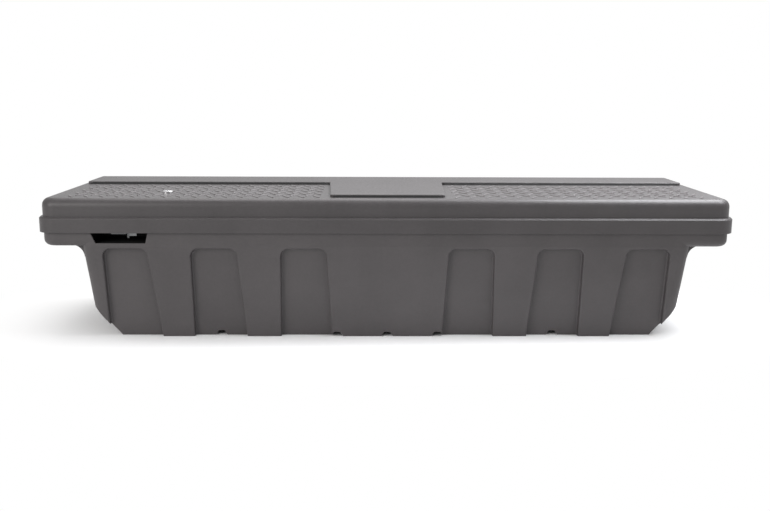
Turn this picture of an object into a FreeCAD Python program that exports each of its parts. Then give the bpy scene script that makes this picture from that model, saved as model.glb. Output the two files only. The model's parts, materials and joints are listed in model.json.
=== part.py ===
"""Crossover truck tool box: a moulded tub that hangs between the bed rails, and a hinged double-wall lid.

Frame: millimetres, +X along the box, +Y from the finger opening side to the hinge side, +Z up.
The origin is under the middle of the box, on the plane of the tub's underside.
"""
import FreeCAD
import Part

import math
import os

V = FreeCAD.Vector
X_AXIS = V(1, 0, 0)
Y_AXIS = V(0, 1, 0)
Z_AXIS = V(0, 0, 1)
CENTRE = V(0, 0, 0)

# Driving dimensions.
LENGTH = 1760.0            # over the lid's skirt band
DEPTH = 508.0
LID_TOP = 360.0            # the plane the tread bars stand on
RIDGE = 7.5                # height of the raised T on the lid
LEDGE_Z = 239.0            # underside of the two wings that sit on the bed rails
BODY_HALF_TOP = 773.0      # half length of the tub under the wings
WALL = 6.0
WING_RADIUS = 16.0         # round the lower edge of each wing
LID_WALL = 5.0
GAP = 0.3                  # between moulded pieces that only meet

# The lid's skirt band and the tub's rim inside it.
BAND_HALF_X = LENGTH / 2
BAND_HALF_Y = DEPTH / 2
BAND_LOW = 274.4
BAND_TOP = 313.0
BAND_STEP = 9.0            # how far the band stands proud of the lid above it
BAND_RADIUS = 44.0
LID_HALF_X = BAND_HALF_X - BAND_STEP
LID_HALF_Y = BAND_HALF_Y - BAND_STEP
LID_RADIUS = BAND_RADIUS - BAND_STEP
LID_EDGE_RADIUS = 20.0
RIM_HALF_X = BAND_HALF_X - 9.5
RIM_HALF_Y = BAND_HALF_Y - 9.5
RIM_RADIUS = 35.0
RIM_TOP = 304.0
FLANGE_WIDTH = 26.0        # inward flange on the rim, which carries the seal

# The tub below the wings.
END_DRAFT = 0.113          # inward per millimetre down
SIDE_INSET = 22.0          # how far the long walls lean in at the bottom
BODY_RADIUS = 30.0
CORNER_Z = 82.0            # the slanted lower end corners start here
BASE_HALF_X = 686.0        # and end here, on the underside
GROOVE_XS = (-430.0, -130.0, 0.0, 130.0, 430.0)
GROOVE_HEIGHT = 12.0
RECESS_DEPTH = 15.0
RECESS_TOP = 233.0
RECESS_RADIUS = 20.0
RECESS_EDGE_RADIUS = 4.0   # round where a recess meets the wall, and at its foot
# Each recess: (inner x at top, outer x at top, inner x at bottom, outer x at bottom).
RECESSES = ((155, 271, 142, 274), (382, 498, 360, 496), (607, 718, 576, 712))

# Hinges.
HINGE_Y = BAND_HALF_Y - LID_WALL
HINGE_Z = BAND_LOW + 1.6
HINGE_XS = {"left": -560.0, "center": 0.0, "right": 560.0}
HINGE_WIDTH = 160.0
KNUCKLES = 5
KNUCKLE_R = 4.0
HINGE_PIN_R = 2.0
KNUCKLE_GAP = 0.4
LEAF = 1.4

# Latch: a torque rod under the lid's front edge turns a hook at each end.
ROD_Y = -170.0
ROD_Z = 292.0
ROD_R = 5.0
HOOK_X = 661.0
HOOK_THICK = 5.0
STRIKER_Y = -188.0
STRIKER_Z = 268.0
STRIKER_R = 4.0
LEVER_LEFT = -703.0
LEVER_RIGHT = -664.5
ROD_ENDS = (-716.0, 690.0)
ROD_BRACKET_XS = {"far_left": -711.0, "left": -560.0, "center": 0.0, "right": 610.0}

# Key lock.
LOCK_X = -575.0
LOCK_Y = -122.0
BARREL_R = 11.0
PLUG_R = 7.0
CAM_RADIUS = 14.0          # centre of the plug to centre of the cam's peg
CAM_REST = 45.0            # the peg's angle from -Y towards +X, at rest
CAM_Z = (299.0, 301.7)
PEG_R = 3.0
BOLT_Z = (292.5, 295.5)
BOLT_Y = (-143.0, -125.0)
BOLT_TIP_X = -645.5

# Gas struts, in the hinge's frame: u forward from the hinge axis, w up.
STRUT_X = 725.0
STRUT_FOOT = (60.0, -120.0)
STRUT_HEAD = (128.0, 18.0)
TUBE_R = 9.0
TUBE_LENGTH = 118.0
STRUT_ROD_R = 4.0
STRUT_EYE_R = 7.5
STRUT_PIN_R = 4.0
PLATE = 3.0
FOOT_PLATE_X = STRUT_X + 11.5

LINER_LOW = 310.0 + GAP
LINER_WALL = 4.0
LINER_RISE = 16.0          # how far the liner's middle is pressed up into the lid
LINER_HALF = (846.0, 174.0)    # half size of that pressed-up middle

RAIL_HOLE_X = 825.0
RAIL_HOLE_Y = 150.0
RAIL_HOLE_R = 5.5


def box(x, y, z):
    """A box from three (low, high) pairs."""
    return Part.makeBox(x[1] - x[0], y[1] - y[0], z[1] - z[0], V(x[0], y[0], z[0]))


def rod(r, start, end):
    """A cylinder of radius r between two points."""
    a = V(*start)
    b = V(*end)
    return Part.makeCylinder(r, (b - a).Length, a, b - a)


def prism(points, along):
    """A polygon's closed outline pushed along a vector."""
    wire = Part.makePolygon([V(*p) for p in points] + [V(*points[0])])
    return Part.Face(wire).extrude(V(*along))


def rounded_wire(hx, hy, r, z):
    """A rounded rectangle about the Z axis, as a closed wire."""
    k = r * (1 - math.sqrt(0.5))
    edges = []
    corners = ((1, 1), (-1, 1), (-1, -1), (1, -1))
    for i, (sx, sy) in enumerate(corners):
        a = V(sx * hx, sy * (hy - r), z)
        b = V(sx * (hx - r), sy * hy, z)
        mid = V(sx * (hx - k), sy * (hy - k), z)
        if sx * sy < 0:
            a, b = b, a
        edges.append(Part.Arc(a, mid, b).toShape())
        nx, ny = corners[(i + 1) % 4]
        if nx * ny < 0:
            after = V(nx * (hx - r), ny * hy, z)
        else:
            after = V(nx * hx, ny * (hy - r), z)
        edges.append(Part.LineSegment(b, after).toShape())
    return Part.Wire(edges)


def rounded_box(hx, hy, r, z0, z1):
    return Part.Face(rounded_wire(hx, hy, r, z0)).extrude(V(0, 0, z1 - z0))


def fuse(shapes):
    shapes = list(shapes)
    if len(shapes) == 1:
        return shapes[0]
    return shapes[0].multiFuse(shapes[1:]).removeSplitter()


def mirror_x(shape):
    return shape.mirror(CENTRE, X_AXIS)


def edges_at(shape, z):
    """The edges that lie flat at a height."""
    found = []
    for edge in shape.Edges:
        bounds = edge.BoundBox
        if abs(bounds.ZMin - z) < 0.01 and abs(bounds.ZMax - z) < 0.01:
            found.append(edge)
    return found


def both_ends(shape):
    return [shape, mirror_x(shape)]


def save(name, shape):
    """Writes one sub-part, as a compound where it is a group of separate solids."""
    solids = shape.Solids
    for solid in solids:
        if not solid.isValid() or solid.Volume <= 0:
            raise ValueError(f"{name} has a bad solid")
    out = solids[0] if len(solids) == 1 else Part.makeCompound(solids)
    out.exportStep(f"parts/{name}.step")
    print(f"{name}: {len(solids)} solid(s), {sum(s.Volume for s in solids) / 1000:.1f} cm3")


# ---- tub ----

def side_y(z):
    """Half depth of the tub's outside at a height."""
    return RIM_HALF_Y - SIDE_INSET * max(0.0, LEDGE_Z - z) / LEDGE_Z


def end_x(z):
    """Half length of the tub's end wall at a height."""
    return BODY_HALF_TOP - END_DRAFT * (LEDGE_Z - z)


def tub_core(thick, rise):
    """The part of the tub under the wings, moved in by thick, with upright walls for a rise above them."""
    wall_x = end_x(0) - thick * math.sqrt(1 + END_DRAFT ** 2)
    top_x = wall_x + END_DRAFT * LEDGE_Z
    foot_x = wall_x + END_DRAFT * thick
    high = RIM_HALF_Y - thick
    low = side_y(thick) - thick
    x0 = -BAND_HALF_X
    y0 = -BAND_HALF_Y
    up = LEDGE_Z + rise
    crosswise = [(x0, high, up), (x0, -high, up), (x0, -high, LEDGE_Z), (x0, -low, thick)]
    crosswise += [(x0, low, thick), (x0, high, LEDGE_Z)]
    lengthwise = [(top_x, y0, up), (-top_x, y0, up), (-top_x, y0, LEDGE_Z), (-foot_x, y0, thick)]
    lengthwise += [(foot_x, y0, thick), (top_x, y0, LEDGE_Z)]
    core = prism(crosswise, (LENGTH, 0, 0)).common(prism(lengthwise, (0, DEPTH, 0)))
    core = core.makeFillet(BODY_RADIUS - thick, [e for e in core.Edges if e.BoundBox.ZLength > 5])
    slant = V(end_x(CORNER_Z) - BASE_HALF_X, 0, CORNER_Z).normalize()
    start = V(BASE_HALF_X - slant.z * thick, y0, slant.x * thick)
    beyond = V(150 * slant.z, 0, -150 * slant.x)
    a = start - slant * 60
    b = start + slant * 160
    wedge = prism([tuple(p) for p in (a, b, b + beyond, a + beyond)], (0, DEPTH, 0))
    return core.cut(fuse(both_ends(wedge)))


def recess_cutter(recess, grow, side):
    """One pressed-in panel of a long wall; grow adds the wall's thickness all round."""
    inner_top, outer_top, inner_low, outer_low = recess
    r = RECESS_RADIUS + grow
    top = RECESS_TOP + grow
    far = -20.0
    a = V(inner_low - grow, 0, far)
    b = V(inner_top - grow, 0, top - r)
    c = V(inner_top - grow + r, 0, top)
    d = V(outer_top + grow - r, 0, top)
    e = V(outer_top + grow, 0, top - r)
    f = V(outer_low + grow, 0, far)
    k = r * (1 - math.sqrt(0.5))
    edges = [Part.LineSegment(a, b).toShape()]
    edges.append(Part.Arc(b, V(b.x + k, 0, top - k), c).toShape())
    edges.append(Part.LineSegment(c, d).toShape())
    edges.append(Part.Arc(d, V(e.x - k, 0, top - k), e).toShape())
    edges.append(Part.LineSegment(e, f).toShape())
    edges.append(Part.LineSegment(f, a).toShape())
    panel = Part.Face(Part.Wire(edges))
    panel.translate(V(0, -BAND_HALF_Y, 0))
    block = panel.extrude(V(0, DEPTH / 2, 0))
    floor_in = RECESS_DEPTH + grow
    front = [(-BAND_HALF_Y - 1, far - 1), (-BAND_HALF_Y - 1, LEDGE_Z + 60)]
    front += [(floor_in - side_y(LEDGE_Z), LEDGE_Z + 60), (floor_in - side_y(LEDGE_Z), LEDGE_Z)]
    front += [(floor_in - side_y(0) + SIDE_INSET * (far - 1) / LEDGE_Z * -1, far - 1)]
    slab = prism([(0, y, z) for y, z in front], (BAND_HALF_X, 0, 0))
    cutter = block.common(slab)
    if grow == 0:
        foot = []
        for edge in cutter.Edges:
            first, last = edge.Vertexes[0].Point, edge.Vertexes[-1].Point
            if min(first.y, last.y) > RECESS_DEPTH - side_y(LEDGE_Z) - 0.01 and max(first.z, last.z) > 0:
                foot.append(edge)
        cutter = cutter.makeFillet(RECESS_EDGE_RADIUS, foot)
    if side > 0:
        cutter = cutter.mirror(CENTRE, Y_AXIS)
    return cutter


def recess_cutters(grow):
    found = []
    for recess in RECESSES:
        for side in (-1, 1):
            found += both_ends(recess_cutter(recess, grow, side))
    return found


def on_long_wall(edge):
    """Whether an edge lies in the outside plane of either long wall, clear of the underside."""
    span = edge.LastParameter - edge.FirstParameter
    for part in (0.02, 0.25, 0.5, 0.75, 0.98):
        p = edge.valueAt(edge.FirstParameter + part * span)
        if abs(abs(p.y) - side_y(p.z)) > 0.02 or p.z > LEDGE_Z - 1:
            return False
    return edge.BoundBox.ZLength > 0.5 or edge.CenterOfMass.z > 8


def grooves(grow):
    """Stiffening channels across the underside."""
    found = []
    for x in GROOVE_XS:
        low = 16 + grow
        high = 7 + grow
        top = GROOVE_HEIGHT + grow
        points = [(x - low, -1), (x - high, top), (x + high, top), (x + low, -1)]
        found.append(prism([(px, -BAND_HALF_Y, pz) for px, pz in points], (0, DEPTH, 0)))
    return found


def wing_fillets():
    """The concave radius between each wing's underside and the end wall."""
    r = 30.0
    wall = end_x(LEDGE_Z - r)
    low = V(wall, 0, LEDGE_Z - r)
    out = V(wall + r, 0, LEDGE_Z)
    mid = V(wall + r * (1 - math.sqrt(0.5)) + 1, 0, LEDGE_Z - r * (1 - math.sqrt(0.5)))
    back = V(wall - 12, 0, LEDGE_Z - r)
    back_top = V(wall - 12, 0, LEDGE_Z + 1)
    out_top = V(wall + r, 0, LEDGE_Z + 1)
    edges = [Part.Arc(low, mid, out).toShape()]
    for a, b in ((out, out_top), (out_top, back_top), (back_top, back), (back, low)):
        edges.append(Part.LineSegment(a, b).toShape())
    face = Part.Face(Part.Wire(edges))
    reach = side_y(LEDGE_Z - r) - BODY_RADIUS + 8
    face.translate(V(0, -reach, 0))
    return both_ends(face.extrude(V(0, 2 * reach, 0)))


def finger_opening():
    """The hole in the front wall, under the skirt band, that a hand reaches through."""
    points = ((-734, 247.0), (-753, 290), (-599, 290), (-609, 247.0))
    return prism([(x, -BAND_HALF_Y, z) for x, z in points], (0, 20, 0))


def tub_shell():
    rim = rounded_box(RIM_HALF_X, RIM_HALF_Y, RIM_RADIUS, LEDGE_Z, RIM_TOP)
    rim = rim.makeFillet(WING_RADIUS, edges_at(rim, LEDGE_Z))
    outer = fuse([rim, tub_core(0, 30)] + wing_fillets())
    outer = outer.cut(fuse(recess_cutters(0)))
    outer = outer.makeFillet(RECESS_EDGE_RADIUS, [e for e in outer.Edges if on_long_wall(e)])
    outer = outer.cut(fuse(grooves(0)))
    flange_x = RIM_HALF_X - FLANGE_WIDTH
    flange_y = RIM_HALF_Y - FLANGE_WIDTH
    inner_x = RIM_HALF_X - WALL
    inner_y = RIM_HALF_Y - WALL
    room = rounded_box(inner_x, inner_y, RIM_RADIUS - WALL, LEDGE_Z + WALL, RIM_TOP - WALL)
    room = room.makeFillet(WING_RADIUS - WALL, edges_at(room, LEDGE_Z + WALL))
    mouth = rounded_box(flange_x, flange_y, 16.0, RIM_TOP - 2 * WALL, RIM_TOP + 1)
    ribs = fuse(recess_cutters(WALL) + grooves(WALL))
    cavity = fuse([room, mouth, tub_core(WALL, 40)]).cut(ribs)
    shell = outer.cut(cavity)
    pads = [strut_pad(1), strut_pad(-1)]
    shell = fuse([shell] + pads)
    cuts = [finger_opening()]
    for x in (-RAIL_HOLE_X, RAIL_HOLE_X):
        for y in (-RAIL_HOLE_Y, RAIL_HOLE_Y):
            cuts.append(rod(RAIL_HOLE_R, (x, y, LEDGE_Z - 5), (x, y, LEDGE_Z + 20)))
    return shell.cut(fuse(cuts))


def strut_pad(side):
    """A flat boss inside the end wall for a strut's lower bracket."""
    y = HINGE_Y - STRUT_FOOT[0]
    z = HINGE_Z + STRUT_FOOT[1]
    outer = end_x(z - 18) - 1
    inner = FOOT_PLATE_X + PLATE
    points = [(inner, z - 18), (outer, z - 18), (end_x(z + 18) - 1, z + 18), (inner, z + 18)]
    pad = prism([(px, y - 17, pz) for px, pz in points], (0, 34, 0))
    return pad if side > 0 else mirror_x(pad)


def rim_seal():
    """Rubber strip on the rim's flange, rounded on top."""
    outer = rounded_box(RIM_HALF_X - 11, RIM_HALF_Y - 11, RIM_RADIUS - 11, RIM_TOP, LINER_LOW - GAP)
    inner = rounded_box(RIM_HALF_X - 22, RIM_HALF_Y - 22, RIM_RADIUS - 22, RIM_TOP - 1, LINER_LOW + 1)
    ring = outer.cut(inner)
    top = [e for e in ring.Edges if abs(e.CenterOfMass.z - (LINER_LOW - GAP)) < 0.01]
    return ring.makeFillet(3.0, top)


def latch_pocket():
    """Open cup behind the finger opening, which keeps the hand and the rain out of the load space."""
    x = (-750.0, -598.0)
    y = (-RIM_HALF_Y + WALL + GAP, -130.0)
    z = (243.5, 278.0)
    inside_x = (x[0] + PLATE, x[1] - PLATE)
    cup = box(x, y, z).cut(box(inside_x, (y[0] - 1, y[1] - PLATE), (z[0] + PLATE, z[1] + 1)))
    tab = box((x[1] - PLATE, x[1] + 16), (y[0], y[0] + PLATE), (252, 276))
    inset = WALL + GAP
    inside = rounded_box(BODY_HALF_TOP - inset, RIM_HALF_Y - inset, BODY_RADIUS - inset, LEDGE_Z, RIM_TOP)
    return fuse([cup, tab]).common(inside)


def pocket_rivets():
    y = -RIM_HALF_Y + WALL + GAP + PLATE
    found = []
    for x, z in ((-590.0, 257.0), (-590.0, 271.0)):
        found.append(rod(4.5, (x, y, z), (x, y + 1.6, z)).fuse(rod(2.0, (x, y, z), (x, y - 7, z))))
    return Part.makeCompound(found)


def rail_plate():
    """Steel strip on the floor of the right wing, so that the rail bolts don't pull through."""
    z = (LEDGE_Z + WALL, LEDGE_Z + WALL + PLATE)
    plate = box((RAIL_HOLE_X - 20, RAIL_HOLE_X + 20), (-RAIL_HOLE_Y - 40, RAIL_HOLE_Y + 40), z)
    holes = []
    for y in (-RAIL_HOLE_Y, RAIL_HOLE_Y):
        holes.append(rod(RAIL_HOLE_R, (RAIL_HOLE_X, y, z[0] - 1), (RAIL_HOLE_X, y, z[1] + 1)))
    upright = [e for e in plate.Edges if abs(e.BoundBox.ZLength - PLATE) < 0.01]
    return plate.makeFillet(8.0, upright).cut(fuse(holes))


# ---- hinges ----

def knuckle_span(i, centre):
    step = HINGE_WIDTH / KNUCKLES
    start = centre - HINGE_WIDTH / 2 + i * step
    return start + KNUCKLE_GAP / 2, start + step - KNUCKLE_GAP / 2


def leaf_holes(centre):
    return [centre - 56.0, centre - 20.0, centre + 20.0, centre + 56.0]


def hinge_leaf(centre, on_lid):
    """One leaf with its share of the knuckles."""
    if on_lid:
        own = (1, 3)
        y = (HINGE_Y - LEAF, HINGE_Y)
        near = HINGE_Z + KNUCKLE_R - 1.2
        far = HINGE_Z + 27
        clear = HINGE_Z + KNUCKLE_R + 0.8
        bore = HINGE_PIN_R + 0.06
    else:
        own = (0, 2, 4)
        y = (RIM_HALF_Y, RIM_HALF_Y + LEAF)
        near = HINGE_Z
        far = HINGE_Z - 28
        clear = HINGE_Z - KNUCKLE_R - 0.8
        bore = HINGE_PIN_R + 0.01
    ends = (centre - HINGE_WIDTH / 2 + KNUCKLE_GAP, centre + HINGE_WIDTH / 2 - KNUCKLE_GAP)
    pieces = [box(ends, y, (min(clear, far), max(clear, far)))]
    for i in own:
        span = knuckle_span(i, centre)
        pieces.append(box(span, y, (min(near, clear), max(near, clear))))
        pieces.append(rod(KNUCKLE_R, (span[0], HINGE_Y, HINGE_Z), (span[1], HINGE_Y, HINGE_Z)))
    cuts = [rod(bore, (ends[0] - 2, HINGE_Y, HINGE_Z), (ends[1] + 2, HINGE_Y, HINGE_Z))]
    z = HINGE_Z + 17 if on_lid else HINGE_Z - 17
    for x in leaf_holes(centre):
        cuts.append(rod(2.6, (x, HINGE_Y - 9, z), (x, HINGE_Y + 9, z)))
    return fuse(pieces).cut(fuse(cuts))


def hinge_pin(centre):
    half = HINGE_WIDTH / 2
    shaft = rod(HINGE_PIN_R, (centre - half, HINGE_Y, HINGE_Z), (centre + half, HINGE_Y, HINGE_Z))
    heads = []
    for side in (-1, 1):
        x = centre + side * half
        heads.append(rod(3.2, (x, HINGE_Y, HINGE_Z), (x + side * 1.5, HINGE_Y, HINGE_Z)))
    return fuse([shaft] + heads)


def hinge_fasteners(on_lid):
    """Flat-headed rivets: through the tub wall, or through the lid's skirt."""
    found = []
    for centre in HINGE_XS.values():
        for x in leaf_holes(centre):
            if on_lid:
                z = HINGE_Z + 17
                head = rod(4.6, (x, HINGE_Y - LEAF, z), (x, HINGE_Y - LEAF - 1.2, z))
                shank = rod(2.4, (x, HINGE_Y - LEAF, z), (x, BAND_HALF_Y - 1.5, z))
                found.append(head.fuse(shank))
            else:
                z = HINGE_Z - 17
                y = RIM_HALF_Y + LEAF
                head = rod(4.6, (x, y, z), (x, y + 1.4, z))
                shank = rod(2.4, (x, y, z), (x, RIM_HALF_Y - WALL, z))
                tail = rod(4.0, (x, RIM_HALF_Y - WALL, z), (x, RIM_HALF_Y - WALL - 1.5, z))
                found.append(fuse([head, shank, tail]))
    return Part.makeCompound(found)


# ---- lid ----

def raised_t(z0, z1):
    """The ridge along the hinge side, and the pad that runs forward from its middle."""
    ridge = rounded_box(846.0, 73.5, 7.0, z0, z1)
    ridge.translate(V(0, 161.5, 0))
    front = -208.0
    pad = prism([(-160, 100, z0), (-146, front, z0), (146, front, z0), (160, 100, z0)], (0, 0, z1 - z0))
    corners = [e for e in pad.Edges if e.BoundBox.ZLength > 1 and e.CenterOfMass.y < 0]
    return fuse([ridge, pad.makeFillet(8.0, corners)])


def lid_shell():
    upper = rounded_box(LID_HALF_X, LID_HALF_Y, LID_RADIUS, BAND_TOP - 4, LID_TOP)
    upper = upper.makeFillet(LID_EDGE_RADIUS, edges_at(upper, LID_TOP))
    band = rounded_box(BAND_HALF_X, BAND_HALF_Y, BAND_RADIUS, BAND_LOW, BAND_TOP)
    band = band.makeChamfer(4.0, edges_at(band, BAND_TOP))
    mark = raised_t(LID_TOP - 1, LID_TOP + RIDGE)
    mark = mark.makeFillet(2.5, edges_at(mark, LID_TOP + RIDGE))
    outer = fuse([upper, band, mark])
    ceiling = LID_TOP - LID_WALL
    room_x = LID_HALF_X - LID_WALL
    room_y = LID_HALF_Y - LID_WALL
    room = rounded_box(room_x, room_y, LID_RADIUS - LID_WALL, BAND_TOP - 20, ceiling)
    room = room.makeFillet(LID_EDGE_RADIUS - LID_WALL, edges_at(room, ceiling))
    skirt_x = BAND_HALF_X - LID_WALL
    skirt_y = BAND_HALF_Y - LID_WALL
    skirt = rounded_box(skirt_x, skirt_y, BAND_RADIUS - LID_WALL, BAND_LOW - 1, BAND_TOP - LID_WALL)
    cuts = [room, skirt]
    for centre in HINGE_XS.values():
        half = HINGE_WIDTH / 2 + 3
        notch = (BAND_LOW - 1, HINGE_Z + 5.4)
        cuts.append(box((centre - half, centre + half), (HINGE_Y, BAND_HALF_Y + 1), notch))
    cuts.append(rod(BARREL_R + 0.2, (LOCK_X, LOCK_Y, LID_TOP - 20), (LOCK_X, LOCK_Y, LID_TOP + 1)))
    return outer.cut(fuse(cuts))


def lid_liner():
    """Inner panel of the double-wall lid, with a raised middle and cross ribs."""
    hx, hy = LINER_HALF
    low = LINER_LOW
    inset = LID_WALL + GAP
    edge = rounded_box(LID_HALF_X - inset, LID_HALF_Y - inset, LID_RADIUS - 6, low, low + LINER_WALL)
    step = rounded_box(hx, hy, 24.0, low, low + LINER_RISE + LINER_WALL)
    hollow = rounded_box(hx - LINER_WALL, hy - LINER_WALL, 20.0, low - 1, low + LINER_RISE)
    panel = fuse([edge, step]).cut(hollow)
    ribs = []
    for x in (-430, -290, -150, 150, 290, 430, 640):
        ceiling = low + LINER_RISE
        points = [(x - 14, ceiling + 1), (x - 9, ceiling - 7), (x + 9, ceiling - 7), (x + 14, ceiling + 1)]
        ribs.append(prism([(px, -150, pz) for px, pz in points], (0, 300, 0)))
    hole = rod(BARREL_R + 0.2, (LOCK_X, LOCK_Y, low), (LOCK_X, LOCK_Y, low + 30))
    return fuse([panel] + ribs).cut(hole)


def liner_rivets():
    found = []
    for x in (-790, -470, -250, 250, 470, 790):
        for y in (-203, 203):
            head = rod(6.0, (x, y, LINER_LOW - 1.8), (x, y, LINER_LOW))
            found.append(head.fuse(rod(2.5, (x, y, LINER_LOW), (x, y, LINER_LOW + LINER_WALL + 5))))
    return Part.makeCompound(found)


# ---- latch ----

def hook():
    """The right-hand hook plate. Its nose stops just short of the striker."""
    half = HOOK_THICK / 2
    points = [(-165, 303), (-188, 303), (-205, 290), (-205, 254), (-202, 251)]
    points += [(STRIKER_Y - STRIKER_R - 0.6, 251), (STRIKER_Y - STRIKER_R - 0.6, 260)]
    points += [(-196, 264), (-196, 284), (-188, 288), (-165, 281)]
    plate = prism([(HOOK_X - half, y, z) for y, z in points], (HOOK_THICK, 0, 0))
    hub = rod(11.0, (HOOK_X - half, ROD_Y, ROD_Z), (HOOK_X + half, ROD_Y, ROD_Z))
    collar = rod(8.5, (HOOK_X - half - 9, ROD_Y, ROD_Z), (HOOK_X + half, ROD_Y, ROD_Z))
    bore = rod(ROD_R, (HOOK_X - 20, ROD_Y, ROD_Z), (HOOK_X + 20, ROD_Y, ROD_Z))
    return fuse([plate, hub, collar]).cut(bore)


def finger_lever():
    """Bent steel lever: a lip for the fingers in front, and behind it the arm that faces the lock bolt."""
    lip = [(-210, 265), (-207.2, 265), (-207.2, 280), (-178, 288), (-178, 291.2), (-208, 282.8), (-210, 281)]
    front = prism([(LEVER_LEFT, y, z) for y, z in lip], (LEVER_RIGHT - LEVER_LEFT, 0, 0))
    hub = rod(9.0, (LEVER_LEFT, ROD_Y, ROD_Z), (LEVER_RIGHT, ROD_Y, ROD_Z))
    arm = box((-690.0, -666.5), (ROD_Y, -118.0), (296.0, 299.0))
    bore = rod(ROD_R, (LEVER_LEFT - 5, ROD_Y, ROD_Z), (LEVER_RIGHT + 5, ROD_Y, ROD_Z))
    return fuse([front, hub, arm]).cut(bore)


def torque_rod():
    shaft = rod(ROD_R, (ROD_ENDS[0], ROD_Y, ROD_Z), (ROD_ENDS[1], ROD_Y, ROD_Z))
    ends = [e for e in shaft.Edges if e.Curve.TypeId == "Part::GeomCircle"]
    return shaft.makeChamfer(1.0, ends)


def rod_pins():
    """Roll pins that lock the hooks and the lever to the torque rod."""
    found = []
    for x in (7.0 - HOOK_X, HOOK_X - 7.0, LEVER_LEFT + 8):
        found.append(rod(1.6, (x, ROD_Y, ROD_Z - 10), (x, ROD_Y, ROD_Z + 10)))
    return Part.makeCompound(found)


def rod_bracket(x):
    """Bearing for the torque rod, screwed to the liner."""
    base = box((x - 2, x + 22), (ROD_Y - 26, ROD_Y + 26), (LINER_LOW - 2.5, LINER_LOW))
    if x > 0:
        base.translate(V(-20, 0, 0))
    base.translate(V(0, -18, 0))
    web_shape = [(ROD_Y - 30, LINER_LOW), (ROD_Y + 8, LINER_LOW), (ROD_Y + 9, ROD_Z), (ROD_Y + 5, ROD_Z - 9)]
    web_shape += [(ROD_Y - 5, ROD_Z - 9), (ROD_Y - 9, ROD_Z)]
    web = prism([(x - 2, y, z) for y, z in web_shape], (4, 0, 0))
    bore = rod(ROD_R + 0.08, (x - 5, ROD_Y, ROD_Z), (x + 5, ROD_Y, ROD_Z))
    return fuse([base, web]).cut(bore)


def return_spring(x0):
    """Torsion spring: close coils round the torque rod, and a leg up to the lid's liner."""
    wire_r = 0.9
    coil_r = 7.0
    turns = 5.75
    pitch = 2.1
    helix = Part.makeHelix(pitch, pitch * turns, coil_r)
    section = Part.Wire(Part.makeCircle(wire_r, V(coil_r, 0, 0), V(0, coil_r, pitch / (2 * math.pi))))
    coil = Part.Wire(helix.Edges).makePipeShell([section], True, True)
    coil.rotate(CENTRE, Y_AXIS, 90)
    coil.translate(V(x0, ROD_Y, ROD_Z))
    x = x0 + pitch * turns
    y = ROD_Y - coil_r
    return coil.fuse(rod(wire_r + 0.1, (x, y, ROD_Z - 1), (x, y, LINER_LOW - 0.1)))


def striker():
    """Right-hand striker: a bracket under the rim's flange, and the round bar that the hook catches."""
    under = RIM_TOP - WALL
    x = HOOK_X - 11.0
    base = box((x - 46, x), (-236.0, -RIM_HALF_Y + FLANGE_WIDTH - 1), (under - 2.5, under))
    front = box((x - 18, x), (-236.0, -233.5), (265.0, under))
    web_shape = [(-236, under), (-236, 265), (-205, 260), (-180, 260)]
    web_shape += [(-180, 275), (-205, 284), (-219.5, 293), (-219.5, under)]
    web = prism([(x - 3, y, z) for y, z in web_shape], (3, 0, 0))
    bar = rod(STRIKER_R, (x - 3, STRIKER_Y, STRIKER_Z), (HOOK_X + 6.5, STRIKER_Y, STRIKER_Z))
    return fuse([base, front, web, bar])


def striker_screws():
    found = []
    under = RIM_TOP - WALL - 2.5
    for x in (HOOK_X - 32, HOOK_X - 50):
        screw = rod(3.5, (x, -227.0, under - 2), (x, -227.0, under))
        screw = screw.fuse(rod(1.8, (x, -227.0, under), (x, -227.0, under + 7)))
        found += both_ends(screw)
    return Part.makeCompound(found)


def bracket_screws():
    """Pan-head screws that hold every bracket to the lid's liner."""
    found = []
    for x in ROD_BRACKET_XS.values():
        shift = -10 if x > 0 else 10
        for y in (ROD_Y - 38, ROD_Y - 14):
            found.append(screw_up(x + shift, y, LINER_LOW - 2.5))
    for side in (-1, 1):
        for y in (HINGE_Y - STRUT_HEAD[0] - 13, HINGE_Y - STRUT_HEAD[0] + 13):
            found.append(screw_up(side * (STRUT_X - 4), y, LINER_LOW + LINER_RISE - 2.5))
    return Part.makeCompound(found)


def screw_up(x, y, z):
    head = rod(3.6, (x, y, z - 2), (x, y, z))
    return head.fuse(rod(1.9, (x, y, z), (x, y, z + 6.2)))


# ---- key lock ----

def lock_housing():
    barrel = rod(BARREL_R, (LOCK_X, LOCK_Y, 306), (LOCK_X, LOCK_Y, LID_TOP))
    head = rod(13.5, (LOCK_X, LOCK_Y, LID_TOP), (LOCK_X, LOCK_Y, LID_TOP + 6))
    head = head.makeChamfer(1.6, [e for e in head.Edges if abs(e.CenterOfMass.z - LID_TOP - 6) < 0.01])
    bore = rod(PLUG_R + 0.06, (LOCK_X, LOCK_Y, 300), (LOCK_X, LOCK_Y, LID_TOP + 10))
    return fuse([barrel, head]).cut(bore)


def lock_plug():
    top = LID_TOP + 5.6
    plug = rod(PLUG_R, (LOCK_X, LOCK_Y, 302), (LOCK_X, LOCK_Y, top))
    square = box((LOCK_X - 3.5, LOCK_X + 3.5), (LOCK_Y - 3.5, LOCK_Y + 3.5), (299, 302))
    stub = rod(2.5, (LOCK_X, LOCK_Y, 295.9), (LOCK_X, LOCK_Y, 299))
    slot = box((LOCK_X - 0.9, LOCK_X + 0.9), (LOCK_Y - 4.2, LOCK_Y + 4.2), (top - 18, top + 1))
    return fuse([plug, square, stub]).cut(slot)


def peg_place():
    angle = math.radians(CAM_REST)
    return LOCK_X + CAM_RADIUS * math.sin(angle), LOCK_Y - CAM_RADIUS * math.cos(angle)


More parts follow.
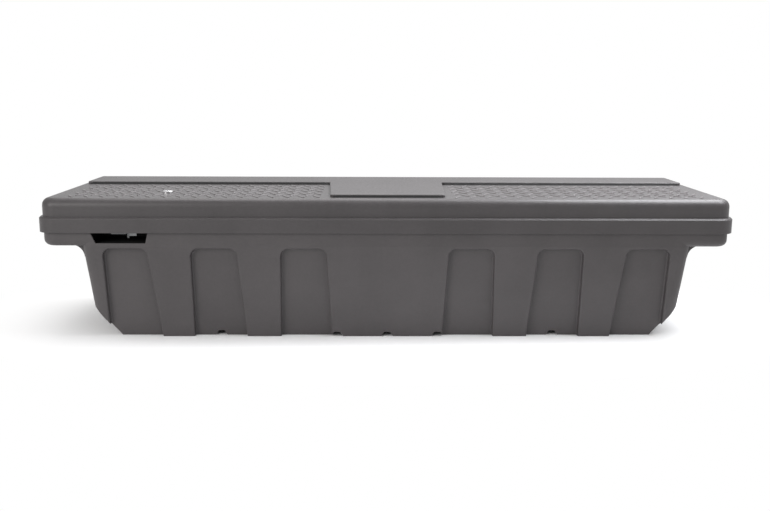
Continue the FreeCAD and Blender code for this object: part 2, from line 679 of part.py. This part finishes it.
def lock_cam():
    px, py = peg_place()
    z = CAM_Z
    hub = rod(8.0, (LOCK_X, LOCK_Y, z[0]), (LOCK_X, LOCK_Y, z[1]))
    tip = rod(5.5, (px, py, z[0]), (px, py, z[1]))
    along = V(px - LOCK_X, py - LOCK_Y, 0)
    across = V(along.y, -along.x, 0).normalize() * 5.5
    corners = [V(LOCK_X, LOCK_Y, z[0]) + across, V(px, py, z[0]) + across]
    corners += [V(px, py, z[0]) - across, V(LOCK_X, LOCK_Y, z[0]) - across]
    link = prism([(c.x, c.y, c.z) for c in corners], (0, 0, z[1] - z[0]))
    peg = rod(PEG_R, (px, py, BOLT_Z[0] - 1), (px, py, z[0]))
    square = box((LOCK_X - 3.5, LOCK_X + 3.5), (LOCK_Y - 3.5, LOCK_Y + 3.5), (z[0] - 1, z[1] + 1))
    return fuse([hub, tip, link, peg]).cut(square)


def hexagon(x, y, z0, z1, across_flats):
    r = across_flats / math.sqrt(3)
    points = []
    for i in range(6):
        a = math.radians(60 * i)
        points.append((x + r * math.cos(a), y + r * math.sin(a), z0))
    return prism(points, (0, 0, z1 - z0))


def cam_nut():
    nut = hexagon(LOCK_X, LOCK_Y, 296.4, CAM_Z[0], 8.0)
    return nut.cut(rod(2.5, (LOCK_X, LOCK_Y, 290), (LOCK_X, LOCK_Y, 305)))


def lock_nut():
    top = LINER_LOW + LINER_RISE
    nut = hexagon(LOCK_X, LOCK_Y, top - 6, top, 28.0)
    return nut.cut(rod(BARREL_R, (LOCK_X, LOCK_Y, 300), (LOCK_X, LOCK_Y, 340)))


def lock_bolt():
    """Flat bar with a cross slot for the cam's peg: the key's turn slides it towards the lever's arm."""
    px = peg_place()[0]
    bar = box((BOLT_TIP_X, -526.0), BOLT_Y, BOLT_Z)
    tip = [e for e in bar.Edges if e.BoundBox.ZLength > 1 and e.CenterOfMass.x < BOLT_TIP_X + 1]
    bar = bar.makeChamfer(4.0, tip)
    half = PEG_R + 0.8
    slot = box((px - half, px + half), (-140.5, -127.5), (BOLT_Z[0] - 1, BOLT_Z[1] + 1))
    return bar.cut(slot)


def bolt_guide(x):
    """Channel under the liner that the lock bolt slides in."""
    top = LINER_LOW + LINER_RISE
    outer = box((x - 5, x + 5), (BOLT_Y[0] - 2.5, BOLT_Y[1] + 2.5), (BOLT_Z[0] - 2.5, top))
    room = box((x - 6, x + 6), (BOLT_Y[0] - 0.4, BOLT_Y[1] + 0.4), (BOLT_Z[0] - 0.3, top - 2.5))
    foot = box((x - 5, x + 5), (BOLT_Y[0] - 14, BOLT_Y[1] + 14), (top - 2.5, top))
    return fuse([outer.cut(room), foot])


# ---- gas struts ----

def strut_point(place, side):
    return V(side * STRUT_X, HINGE_Y - place[0], HINGE_Z + place[1])


def strut_direction():
    return (strut_point(STRUT_HEAD, 1) - strut_point(STRUT_FOOT, 1)).normalize()


def along_strut(side, start, end, r):
    foot = strut_point(STRUT_FOOT, side)
    way = strut_direction()
    a = foot + way * start
    b = foot + way * end
    return rod(r, (a.x, a.y, a.z), (b.x, b.y, b.z))


def strut_cylinder(side):
    tube = along_strut(side, 14, 14 + TUBE_LENGTH, TUBE_R)
    bore = along_strut(side, 18, 14 + TUBE_LENGTH - 5, TUBE_R - 1.4)
    exit_hole = along_strut(side, 50, 14 + TUBE_LENGTH + 1, STRUT_ROD_R + 0.05)
    return tube.cut(bore).cut(exit_hole)


def strut_length():
    return (strut_point(STRUT_HEAD, 1) - strut_point(STRUT_FOOT, 1)).Length


def strut_rod(side):
    head = strut_length()
    shaft = along_strut(side, 20, head - 11, STRUT_ROD_R)
    piston = along_strut(side, 20, 30, TUBE_R - 1.5)
    return shaft.fuse(piston)


def strut_eye(side, place, start, end):
    """End fitting: an eye across the strut and a neck along it."""
    centre = strut_point(place, side)
    eye = rod(STRUT_EYE_R, (centre.x - 6, centre.y, centre.z), (centre.x + 6, centre.y, centre.z))
    neck = along_strut(side, start, end, 5.5)
    bore = rod(STRUT_PIN_R + 0.05, (centre.x - 7, centre.y, centre.z), (centre.x + 7, centre.y, centre.z))
    return fuse([eye, neck]).cut(bore)


def lower_eye(side):
    return strut_eye(side, STRUT_FOOT, 3, 14)


def upper_eye(side):
    head = strut_length()
    eye = strut_eye(side, STRUT_HEAD, head - 17, head - 4)
    return eye.cut(along_strut(side, head - 20, head - 11, STRUT_ROD_R))


def lower_bracket(side):
    """Plate on the end wall's boss, with the pin that the strut turns on."""
    foot = strut_point(STRUT_FOOT, 1)
    plate = box((FOOT_PLATE_X, FOOT_PLATE_X + PLATE), (foot.y - 15, foot.y + 15), (foot.z - 16, foot.z + 16))
    rounded = [e for e in plate.Edges if abs(e.BoundBox.XLength - PLATE) < 0.01]
    plate = plate.makeFillet(4.0, rounded)
    pin = rod(STRUT_PIN_R, (FOOT_PLATE_X, foot.y, foot.z), (STRUT_X - 8, foot.y, foot.z))
    clip = rod(6.0, (STRUT_X - 6.6, foot.y, foot.z), (STRUT_X - 8, foot.y, foot.z))
    whole = fuse([plate, pin, clip])
    return whole if side > 0 else mirror_x(whole)


def strut_screws():
    found = []
    foot = strut_point(STRUT_FOOT, 1)
    for dy, dz in ((-10.5, -11), (10.5, -11), (-10.5, 11), (10.5, 11)):
        y = foot.y + dy
        z = foot.z + dz
        face = FOOT_PLATE_X
        screw = rod(3.0, (face - 1.8, y, z), (face, y, z)).fuse(rod(1.6, (face, y, z), (face + 7.5, y, z)))
        found += both_ends(screw)
    return Part.makeCompound(found)


def upper_bracket(side):
    """Angle under the liner, beside the strut's upper eye."""
    head = strut_point(STRUT_HEAD, 1)
    top = LINER_LOW + LINER_RISE
    base = box((STRUT_X - 10, STRUT_X + 10.5), (head.y - 20, head.y + 20), (top - 2.5, top))
    shape = [(head.y - 20, top), (head.y + 20, top), (head.y + 9, head.z - 6), (head.y + 4, head.z - 10)]
    shape += [(head.y - 4, head.z - 10), (head.y - 9, head.z - 6)]
    web = prism([(STRUT_X + 7.5, y, z) for y, z in shape], (PLATE, 0, 0))
    stud = rod(6.5, (STRUT_X + 7.5, head.y, head.z), (STRUT_X + 6.5, head.y, head.z))
    whole = fuse([base, web, stud])
    return whole if side > 0 else mirror_x(whole)


def main():
    os.makedirs("parts", exist_ok=True)
    tub_rivets = hinge_fasteners(False)
    lid_rivets = hinge_fasteners(True)
    pins = rod_pins()
    hardware = {
        "pocket_rivets": pocket_rivets(),
        "liner_rivets": liner_rivets(),
        "hinge_rivets_tub": tub_rivets,
        "hinge_rivets_lid": lid_rivets,
        "rod_pins": pins,
        "striker_screws": striker_screws(),
        "bracket_screws": bracket_screws(),
        "strut_screws": strut_screws(),
    }
    for name, shape in hardware.items():
        save(name, shape)

    def fitted(shape, *groups):
        for group in groups:
            shape = shape.cut(hardware[group])
        return shape

    in_tub = ("pocket_rivets", "hinge_rivets_tub", "striker_screws", "strut_screws")
    save("tub_shell", fitted(tub_shell(), *in_tub))
    save("rim_seal", rim_seal())
    save("latch_pocket", fitted(latch_pocket(), "pocket_rivets"))
    save("lid_shell", fitted(lid_shell(), "hinge_rivets_lid"))
    save("lid_liner", fitted(lid_liner(), "liner_rivets", "bracket_screws"))
    for name, x in HINGE_XS.items():
        save(f"hinge_{name}_tub_leaf", fitted(hinge_leaf(x, False), "hinge_rivets_tub"))
        save(f"hinge_{name}_lid_leaf", fitted(hinge_leaf(x, True), "hinge_rivets_lid"))
        save(f"hinge_{name}_pin", hinge_pin(x))
    save("rail_plate_right", rail_plate())
    save("rail_plate_left", mirror_x(rail_plate()))
    save("torque_rod", fitted(torque_rod(), "rod_pins"))
    save("latch_hook_right", fitted(hook(), "rod_pins"))
    save("latch_hook_left", fitted(mirror_x(hook()), "rod_pins"))
    save("finger_lever", fitted(finger_lever(), "rod_pins"))
    save("return_spring_left", return_spring(-576.0))
    save("return_spring_right", return_spring(613.5))
    for name, x in ROD_BRACKET_XS.items():
        save(f"rod_bracket_{name}", fitted(rod_bracket(x), "bracket_screws"))
    save("striker_right", fitted(striker(), "striker_screws"))
    save("striker_left", fitted(mirror_x(striker()), "striker_screws"))
    save("lock_housing", lock_housing())
    save("lock_plug", lock_plug())
    save("lock_cam", lock_cam())
    save("cam_nut", cam_nut())
    save("lock_nut", lock_nut())
    save("lock_bolt", lock_bolt())
    save("bolt_guide_left", bolt_guide(-618.0))
    save("bolt_guide_right", bolt_guide(-549.0))
    for name, side in (("right", 1), ("left", -1)):
        save(f"strut_cylinder_{name}", strut_cylinder(side))
        save(f"strut_rod_{name}", strut_rod(side))
        save(f"strut_lower_eye_{name}", lower_eye(side))
        save(f"strut_upper_eye_{name}", upper_eye(side))
        save(f"strut_lower_bracket_{name}", fitted(lower_bracket(side), "strut_screws"))
        save(f"strut_upper_bracket_{name}", fitted(upper_bracket(side), "bracket_screws"))


main()
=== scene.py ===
"""Crossover truck tool box: finishes, tread bars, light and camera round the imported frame.

All lengths are in metres.
"""
import bmesh
import bpy
import json
import math

from mathutils import Matrix, Vector


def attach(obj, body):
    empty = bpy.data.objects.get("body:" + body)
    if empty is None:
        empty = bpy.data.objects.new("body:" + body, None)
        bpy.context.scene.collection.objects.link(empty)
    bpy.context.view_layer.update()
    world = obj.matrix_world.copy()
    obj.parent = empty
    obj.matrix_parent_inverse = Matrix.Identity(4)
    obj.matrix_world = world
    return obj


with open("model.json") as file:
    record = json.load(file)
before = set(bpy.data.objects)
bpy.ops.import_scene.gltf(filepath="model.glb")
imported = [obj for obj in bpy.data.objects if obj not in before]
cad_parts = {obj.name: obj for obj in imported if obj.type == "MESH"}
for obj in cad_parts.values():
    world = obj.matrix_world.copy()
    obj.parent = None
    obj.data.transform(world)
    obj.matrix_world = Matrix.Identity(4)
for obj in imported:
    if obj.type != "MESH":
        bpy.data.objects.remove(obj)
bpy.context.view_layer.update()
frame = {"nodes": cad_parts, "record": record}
nodes = frame["nodes"]
scene = bpy.context.scene


# ---- helpers for materials ----

def node_tree(name):
    material = bpy.data.materials.new(name)
    material.use_nodes = True
    tree = material.node_tree
    shader = tree.nodes["Principled BSDF"]
    return material, tree, shader


def add(tree, kind, **settings):
    """A new node. Each setting is one of its input sockets if it has one of that name, or else a property."""
    node = tree.nodes.new(kind)
    for key, value in settings.items():
        if key in node.inputs:
            node.inputs[key].default_value = value
        else:
            setattr(node, key, value)
    return node


def noise(tree, place, scale, detail=3.0, rough=0.5):
    texture = add(tree, "ShaderNodeTexNoise", Scale=scale, Detail=detail, Roughness=rough)
    tree.links.new(place.outputs["Object"], texture.inputs["Vector"])
    return texture


def ramp(tree, source, stops, output="Fac"):
    """A colour ramp from a list of (position, colour)."""
    node = tree.nodes.new("ShaderNodeValToRGB")
    while len(node.color_ramp.elements) < len(stops):
        node.color_ramp.elements.new(0.5)
    for element, (position, colour) in zip(node.color_ramp.elements, stops):
        element.position = position
        element.color = (*colour, 1.0)
    tree.links.new(source.outputs[output], node.inputs["Fac"])
    return node


def tinted(value, tint=(1.0, 1.0, 1.0)):
    return tuple(value * t for t in tint)


# ---- moulded plastic ----

WARM_GREY = (1.10, 1.0, 1.03)
NEUTRAL = (1.0, 1.0, 1.0)
FLOW_SCALE = 6.0           # slow changes of tone along the moulding
SPECK_SCALE = 150.0        # fine changes of tone and gloss
SPECK_SHARE = 0.4
TONE_SPREAD = 0.12         # how far the tone strays from its middle value
EDGE_REACH = 0.0022        # how far from an edge the rounded-over shading goes, and the paler edge of scuffs and painted highlight
SCUFF_AND_HIGHLIGHT_LIFT = 1.6            # how much paler an edge is painted: partly scuffs, partly a painted highlight
GRAIN_DEPTH = 0.0004


def blended_noise(tree, place):
    """The slow and the fine noise together, and the fine one by itself."""
    flow = noise(tree, place, FLOW_SCALE, detail=5.0, rough=0.6)
    speck = noise(tree, place, SPECK_SCALE, detail=4.0, rough=0.65)
    mix = add(tree, "ShaderNodeMix", data_type="FLOAT")
    mix.inputs[0].default_value = SPECK_SHARE
    tree.links.new(flow.outputs["Fac"], mix.inputs[2])
    tree.links.new(speck.outputs["Fac"], mix.inputs[3])
    return mix, speck


def scuff_and_highlight_mask(tree, rounded, speck):
    """A patchy mask of the edges, for paler scuffs and a painted highlight: where the rounded-over normal
    leaves the face's own one.
    """
    true = tree.nodes.new("ShaderNodeNewGeometry")
    facing = add(tree, "ShaderNodeVectorMath", operation="DOT_PRODUCT")
    tree.links.new(rounded.outputs["Normal"], facing.inputs[0])
    tree.links.new(true.outputs["Normal"], facing.inputs[1])
    edge = tree.nodes.new("ShaderNodeMapRange")
    edge.inputs["From Min"].default_value = 0.995
    edge.inputs["From Max"].default_value = 0.90
    tree.links.new(facing.outputs["Value"], edge.inputs["Value"])
    patchy = add(tree, "ShaderNodeMath", operation="MULTIPLY")
    tree.links.new(edge.outputs["Result"], patchy.inputs[0])
    tree.links.new(speck.outputs["Fac"], patchy.inputs[1])
    return patchy


def grained_normal(tree, place, rounded, grain, grain_scale):
    """A pebbled grain, bumped on top of the rounded-over normal."""
    pebble = add(tree, "ShaderNodeTexVoronoi", Scale=grain_scale, feature="SMOOTH_F1")
    tree.links.new(place.outputs["Object"], pebble.inputs["Vector"])
    leather = noise(tree, place, grain_scale * 0.45, detail=2.0)
    height = add(tree, "ShaderNodeMath", operation="ADD")
    tree.links.new(pebble.outputs["Distance"], height.inputs[0])
    tree.links.new(leather.outputs["Fac"], height.inputs[1])
    bump = add(tree, "ShaderNodeBump", Strength=grain, Distance=GRAIN_DEPTH)
    tree.links.new(height.outputs[0], bump.inputs["Height"])
    tree.links.new(rounded.outputs["Normal"], bump.inputs["Normal"])
    return bump


def moulded_plastic(name, value, roughness, grain=0.35, grain_scale=900.0, tint=WARM_GREY, scuff_highlight_lift=1.25):
    """Moulded plastic: pebbled grain, faint flow mottling, a scuffed sheen, and edges painted a little paler,
    partly as scuffs and partly as a painted highlight.
    """
    material, tree, shader = node_tree(name)
    place = tree.nodes.new("ShaderNodeTexCoord")
    mix, speck = blended_noise(tree, place)
    darkest = tinted(value * (1 - TONE_SPREAD), tint)
    palest = tinted(value * (1 + TONE_SPREAD), tint)
    colour = ramp(tree, mix, [(0.36, darkest), (0.64, palest)], output=0)

    rounded = add(tree, "ShaderNodeBevel", Radius=EDGE_REACH)
    rounded.samples = 4
    patchy = scuff_and_highlight_mask(tree, rounded, speck)
    # edges painted paler: partly scuffs, partly a painted highlight
    scuffed_and_lit = add(tree, "ShaderNodeMix", data_type="RGBA")
    scuffed_and_lit.inputs[7].default_value = (*tinted(value * scuff_highlight_lift * SCUFF_AND_HIGHLIGHT_LIFT, tint), 1.0)
    tree.links.new(patchy.outputs[0], scuffed_and_lit.inputs[0])
    tree.links.new(colour.outputs["Color"], scuffed_and_lit.inputs[6])
    tree.links.new(scuffed_and_lit.outputs[2], shader.inputs["Base Color"])

    sheen = ramp(tree, speck, [(0.3, tinted(roughness - 0.06)), (0.7, tinted(roughness + 0.07))])
    tree.links.new(sheen.outputs["Color"], shader.inputs["Roughness"])
    bump = grained_normal(tree, place, rounded, grain, grain_scale)
    tree.links.new(bump.outputs["Normal"], shader.inputs["Normal"])
    shader.inputs["Specular IOR Level"].default_value = 0.45
    return material


# ---- metal ----

BLOTCH_SCALE = 60.0
BLOTCH_DARKNESS = 0.82
SCRATCH_STRETCH = (20.0, 900.0, 900.0)     # long along X, fine across it
SCRATCH_DEPTH = 0.0002


def metal(name, colour, roughness, brushed=0.0, metallic=1.0):
    """Plated or coated steel with fine scratches and slight blotches."""
    material, tree, shader = node_tree(name)
    place = tree.nodes.new("ShaderNodeTexCoord")
    blotch = noise(tree, place, BLOTCH_SCALE, detail=5.0)
    dark = tuple(c * BLOTCH_DARKNESS for c in colour)
    tint = ramp(tree, blotch, [(0.35, dark), (0.65, colour)])
    tree.links.new(tint.outputs["Color"], shader.inputs["Base Color"])
    stretch = add(tree, "ShaderNodeMapping")
    stretch.inputs["Scale"].default_value = SCRATCH_STRETCH
    tree.links.new(place.outputs["Object"], stretch.inputs["Vector"])
    lines = add(tree, "ShaderNodeTexNoise", Scale=1.0, Detail=2.0)
    tree.links.new(stretch.outputs["Vector"], lines.inputs["Vector"])
    low = max(roughness - 0.05, 0.03)
    gloss = ramp(tree, lines, [(0.3, tinted(low)), (0.7, tinted(roughness + 0.08))])
    tree.links.new(gloss.outputs["Color"], shader.inputs["Roughness"])
    if brushed > 0:
        bump = add(tree, "ShaderNodeBump", Strength=brushed, Distance=SCRATCH_DEPTH)
        tree.links.new(lines.outputs["Fac"], bump.inputs["Height"])
        tree.links.new(bump.outputs["Normal"], shader.inputs["Normal"])
    shader.inputs["Metallic"].default_value = metallic
    return material


# ---- the finishes, and the CAD nodes they go on ----

materials = {
    "tub_plastic": moulded_plastic("tub_plastic", 0.056, 0.50),
    "lid_plastic": moulded_plastic("lid_plastic", 0.046, 0.42),
    # the tread bars' finish: a paler copy of the lid's plastic, as painted light on the bars' lit tops
    "tread_lit_lid_plastic": moulded_plastic("tread_lit_lid_plastic", 0.076, 0.36, grain=0.2),
    "liner_plastic": moulded_plastic("liner_plastic", 0.048, 0.60, grain=0.2, tint=NEUTRAL),
    "pocket_plastic": moulded_plastic("pocket_plastic", 0.006, 0.70, grain=0.2, tint=NEUTRAL),
    # near-black finish for the strips along the raised T's foot, which stand in as painted shade
    "ridge_shade_black": moulded_plastic("ridge_shade_black", 0.010, 0.75, grain=0.2, tint=NEUTRAL, scuff_highlight_lift=0.6),
    "seal_rubber": moulded_plastic("seal_rubber", 0.012, 0.80, grain=0.5, grain_scale=1600.0, tint=NEUTRAL),
    "eye_plastic": moulded_plastic("eye_plastic", 0.020, 0.45, grain=0.2, tint=NEUTRAL),
    "strut_black": metal("strut_black", (0.012, 0.012, 0.013), 0.28, metallic=0.0),
    "strut_chrome": metal("strut_chrome", (0.62, 0.63, 0.64), 0.12),
    "lock_chrome": metal("lock_chrome", (0.92, 0.92, 0.93), 0.20),
    "hinge_steel": metal("hinge_steel", (0.030, 0.030, 0.031), 0.45, brushed=0.15, metallic=0.3),
    "zinc_steel": metal("zinc_steel", (0.20, 0.205, 0.21), 0.42, brushed=0.2),
}

for entry in frame["record"]["subparts"]:
    finishes = nodes[entry["node"]].data.materials
    finishes.clear()
    finishes.append(materials[entry["material_slot"]])


# ---- what the scene adds to the lid ----

LID_TOP = 0.360            # the plane that the bars and the bead stand on


def lid_piece(name, mesh, finish):
    """A smooth-shaded piece on the lid, made from a finished bmesh."""
    bmesh.ops.recalc_face_normals(mesh, faces=mesh.faces)
    data = bpy.data.meshes.new(name)
    mesh.to_mesh(data)
    mesh.free()
    piece = bpy.data.objects.new(name, data)
    scene.collection.objects.link(piece)
    data.materials.append(materials[finish])
    for polygon in data.polygons:
        polygon.use_smooth = True
    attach(piece, "lid")
    return piece


# Tread bars: two interleaved sets on each side of the raised middle, which lean opposite ways.
BAR_LENGTH = 0.046
BAR_WIDTH = 0.0105
BAR_HEIGHT = 0.0024
BAR_SUNK = 0.0003          # how far a bar's foot goes into the lid
BAR_LEAN = math.radians(26)        # from the front-to-back direction
COLUMN_PITCH = 0.039
ROW_PITCH = 0.060
# The first bar's x and y, then the number of columns and rows.
OUTER_SET = (0.181, -0.197, 17, 5)
INNER_SET = (0.2005, -0.167, 16, 4)
LOCK_SPOT = Vector((-0.575, -0.122))
LOCK_CLEARANCE = 0.021
# Rings up a bar, from its foot to its crown: share of the width, share of the height.
BAR_RINGS = ((1.0, 0.0), (0.90, 0.38), (0.74, 0.70), (0.52, 0.90), (0.26, 1.0))
BAR_SIDES = 18
BAR_POINT = 1.25           # above 1, this draws a bar's ends to points


def add_bar(mesh, x, y, turn):
    """One raised lens-shaped bar with pointed ends and a rounded crown."""
    rings = []
    spin = Matrix.Rotation(turn, 3, "Z")
    for scale, rise in BAR_RINGS:
        ring = []
        for i in range(BAR_SIDES):
            angle = 2 * math.pi * i / BAR_SIDES
            along = math.cos(angle) * (BAR_LENGTH - BAR_WIDTH * (1 - scale)) / 2
            side = math.sin(angle)
            across = math.copysign(abs(side) ** BAR_POINT, side) * BAR_WIDTH / 2
            point = spin @ Vector((across * scale, along, 0))
            height = LID_TOP - BAR_SUNK + rise * BAR_HEIGHT
            ring.append(mesh.verts.new((x + point.x, y + point.y, height)))
        rings.append(ring)
    for lower, upper in zip(rings, rings[1:]):
        for i in range(BAR_SIDES):
            j = (i + 1) % BAR_SIDES
            mesh.faces.new((lower[j], lower[i], upper[i], upper[j]))
    mesh.faces.new(list(reversed(rings[-1])))
    mesh.faces.new(rings[0])


def by_the_lock(x, y):
    near = min(max(LOCK_SPOT.y, y - BAR_LENGTH / 2), y + BAR_LENGTH / 2)
    return (Vector((x, near)) - LOCK_SPOT).length < LOCK_CLEARANCE


def tread_side(name, direction):
    """The bars on one side of the lid's raised middle. The two sides mirror each other."""
    mesh = bmesh.new()
    for (first_x, first_y, columns, rows), lean in ((OUTER_SET, -BAR_LEAN), (INNER_SET, BAR_LEAN)):
        for j in range(rows):
            for i in range(columns):
                x = direction * (first_x + i * COLUMN_PITCH)
                y = first_y + j * ROW_PITCH
                if not by_the_lock(x, y):
                    add_bar(mesh, x, y, direction * lean)
    return lid_piece(name, mesh, "tread_lit_lid_plastic")


tread_side("tread_right", 1)
tread_side("tread_left", -1)

# Near-black strip along the foot of the raised T's front edges: painted shade for the dark gap there.
RIDGE_FRONT = 0.088        # front of the T's long bar
RIDGE_ENDS = (0.160, 0.840)
PAD_FRONT = -0.208         # front of the T's stem
PAD_HALF = 0.141
# Its cross section: distance in front of the raised edge, height above the lid's top.
BEAD = ((-0.0004, 0.0056), (0.0003, 0.0055), (0.0006, 0.0040), (0.0010, 0.0022), (0.0018, 0.0010),
        (0.0030, 0.0004), (0.0036, -0.0002), (-0.0004, -0.0002))
BEAD_STEPS = 40
BEAD_TAPER = 0.010         # the bead thins out over this length
BEAD_THINNEST = 0.25


def ridge_shade_strip(name, start, end, front):
    """A near-black strip of painted shade along X, with its sections closer together towards its thinned-out
    ends.
    """
    mesh = bmesh.new()
    rings = []
    for i in range(BEAD_STEPS + 1):
        x = start + (end - start) * (0.5 - 0.5 * math.cos(math.pi * i / BEAD_STEPS))
        inward = min(x - start, end - x) / BEAD_TAPER
        full = min(1.0, BEAD_THINNEST + (1 - BEAD_THINNEST) * inward)
        rings.append([mesh.verts.new((x, front - out * full, LID_TOP + up * full)) for out, up in BEAD])
    for ring, after in zip(rings, rings[1:]):
        for j in range(len(BEAD)):
            k = (j + 1) % len(BEAD)
            mesh.faces.new((ring[j], ring[k], after[k], after[j]))
    mesh.faces.new(rings[0])
    mesh.faces.new(rings[-1])
    return lid_piece(name, mesh, "ridge_shade_black")


ridge_shade_strip("ridge_shade_left", -RIDGE_ENDS[1], -RIDGE_ENDS[0], RIDGE_FRONT)
ridge_shade_strip("ridge_shade_right", *RIDGE_ENDS, RIDGE_FRONT)
ridge_shade_strip("pad_shade_front", -PAD_HALF, PAD_HALF, PAD_FRONT)


# ---- floor ----

FLOOR_SPAN = 12.0
FLOOR_WHITE = 0.93
# The floor is plain inside the first distance and runs into the white of the backdrop by the second.
FADE = (0.72, 1.25)
FADE_SQUEEZE = (1.0, 2.0, 1.0)     # the fade comes sooner in front of the box than beside it


def lay_floor():
    mesh = bpy.data.meshes.new("floor")
    corners = [(-1, -1), (1, -1), (1, 1), (-1, 1)]
    mesh.from_pydata([(x * FLOOR_SPAN, y * FLOOR_SPAN, 0) for x, y in corners], [], [(0, 1, 2, 3)])
    floor = bpy.data.objects.new("floor", mesh)
    scene.collection.objects.link(floor)
    material, tree, shader = node_tree("floor")
    shader.inputs["Base Color"].default_value = (FLOOR_WHITE, FLOOR_WHITE, FLOOR_WHITE, 1)
    shader.inputs["Roughness"].default_value = 0.9
    shader.inputs["Specular IOR Level"].default_value = 0.2

    glow = add(tree, "ShaderNodeEmission", Color=(1, 1, 1, 1), Strength=1.0)
    blend = tree.nodes.new("ShaderNodeMixShader")
    place = tree.nodes.new("ShaderNodeTexCoord")
    squeeze = add(tree, "ShaderNodeVectorMath", operation="MULTIPLY")
    squeeze.inputs[1].default_value = FADE_SQUEEZE
    reach = add(tree, "ShaderNodeVectorMath", operation="LENGTH")
    fade = tree.nodes.new("ShaderNodeMapRange")
    fade.interpolation_type = "SMOOTHSTEP"
    fade.inputs["From Min"].default_value, fade.inputs["From Max"].default_value = FADE
    tree.links.new(place.outputs["Object"], squeeze.inputs[0])
    tree.links.new(squeeze.outputs["Vector"], reach.inputs[0])
    tree.links.new(reach.outputs["Value"], fade.inputs["Value"])
    tree.links.new(fade.outputs["Result"], blend.inputs["Fac"])
    tree.links.new(shader.outputs["BSDF"], blend.inputs[1])
    tree.links.new(glow.outputs["Emission"], blend.inputs[2])
    tree.links.new(blend.outputs["Shader"], tree.nodes["Material Output"].inputs["Surface"])
    mesh.materials.append(material)


lay_floor()


# ---- light ----

AMBIENT = 0.62             # what the white surroundings give as light


def white_surroundings():
    """A world that the camera sees as plain white, and that lights the scene more softly."""
    world = bpy.data.worlds.new("studio")
    world.use_nodes = True
    tree = world.node_tree
    soft = tree.nodes["Background"]
    soft.inputs["Color"].default_value = (1.0, 1.0, 1.0, 1)
    soft.inputs["Strength"].default_value = AMBIENT
    backdrop = add(tree, "ShaderNodeBackground", Color=(1, 1, 1, 1), Strength=1.0)
    seen = tree.nodes.new("ShaderNodeLightPath")
    mix = tree.nodes.new("ShaderNodeMixShader")
    tree.links.new(seen.outputs["Is Camera Ray"], mix.inputs["Fac"])
    tree.links.new(soft.outputs["Background"], mix.inputs[1])
    tree.links.new(backdrop.outputs["Background"], mix.inputs[2])
    tree.links.new(mix.outputs["Shader"], tree.nodes["World Output"].inputs["Surface"])
    scene.world = world


white_surroundings()

# Softboxes: name, place, target, size, watts, colour.
SOFTBOXES = (
    ("back_box", (0.1, 2.3, 1.7), (0, 0, 0.36), (4.4, 1.3), 12, (0.98, 0.99, 1.0)),
    ("top_right_box", (1.3, 0.1, 1.9), (0.4, -0.15, 0.36), (1.7, 1.3), 86, (0.96, 0.97, 1.0)),
    ("top_left_box", (-0.4, 0.5, 1.9), (-0.2, -0.15, 0.36), (1.6, 1.2), 20, (1.0, 0.98, 0.98)),
    ("front_left_box", (-2.2, -2.4, 1.3), (-0.5, 0, 0.2), (1.6, 1.4), 42, (1.0, 0.98, 0.96)),
)


def area_light(name, place, target, size, power, colour):
    data = bpy.data.lights.new(name, "AREA")
    data.shape = "RECTANGLE"
    data.size, data.size_y = size
    data.energy = power
    data.color = colour
    light = bpy.data.objects.new(name, data)
    light.location = place
    light.rotation_euler = (Vector(target) - Vector(place)).to_track_quat("-Z", "Y").to_euler()
    light.visible_camera = False
    scene.collection.objects.link(light)


for softbox in SOFTBOXES:
    area_light(*softbox)


# ---- camera ----

CAMERA_PLACE = (-0.045, -2.512, 0.647)
CAMERA_LENS = 42.7
SENSOR_WIDTH = 36.0
CAMERA_PITCH = 10.73       # degrees down
CAMERA_HEADING = 0.96      # degrees towards +X
CAMERA_ROLL = 0.27         # degrees

camera_data = bpy.data.cameras.new("camera")
camera_data.lens = CAMERA_LENS
camera_data.sensor_width = SENSOR_WIDTH
camera = bpy.data.objects.new("camera", camera_data)
scene.collection.objects.link(camera)
heading = Matrix.Rotation(math.radians(-CAMERA_HEADING), 4, "Z")
tilt = Matrix.Rotation(math.radians(90 - CAMERA_PITCH), 4, "X")
roll = Matrix.Rotation(math.radians(CAMERA_ROLL), 4, "Z")
camera.matrix_world = Matrix.Translation(CAMERA_PLACE) @ heading @ tilt @ roll
scene.camera = camera
scene.view_settings.view_transform = "Standard"
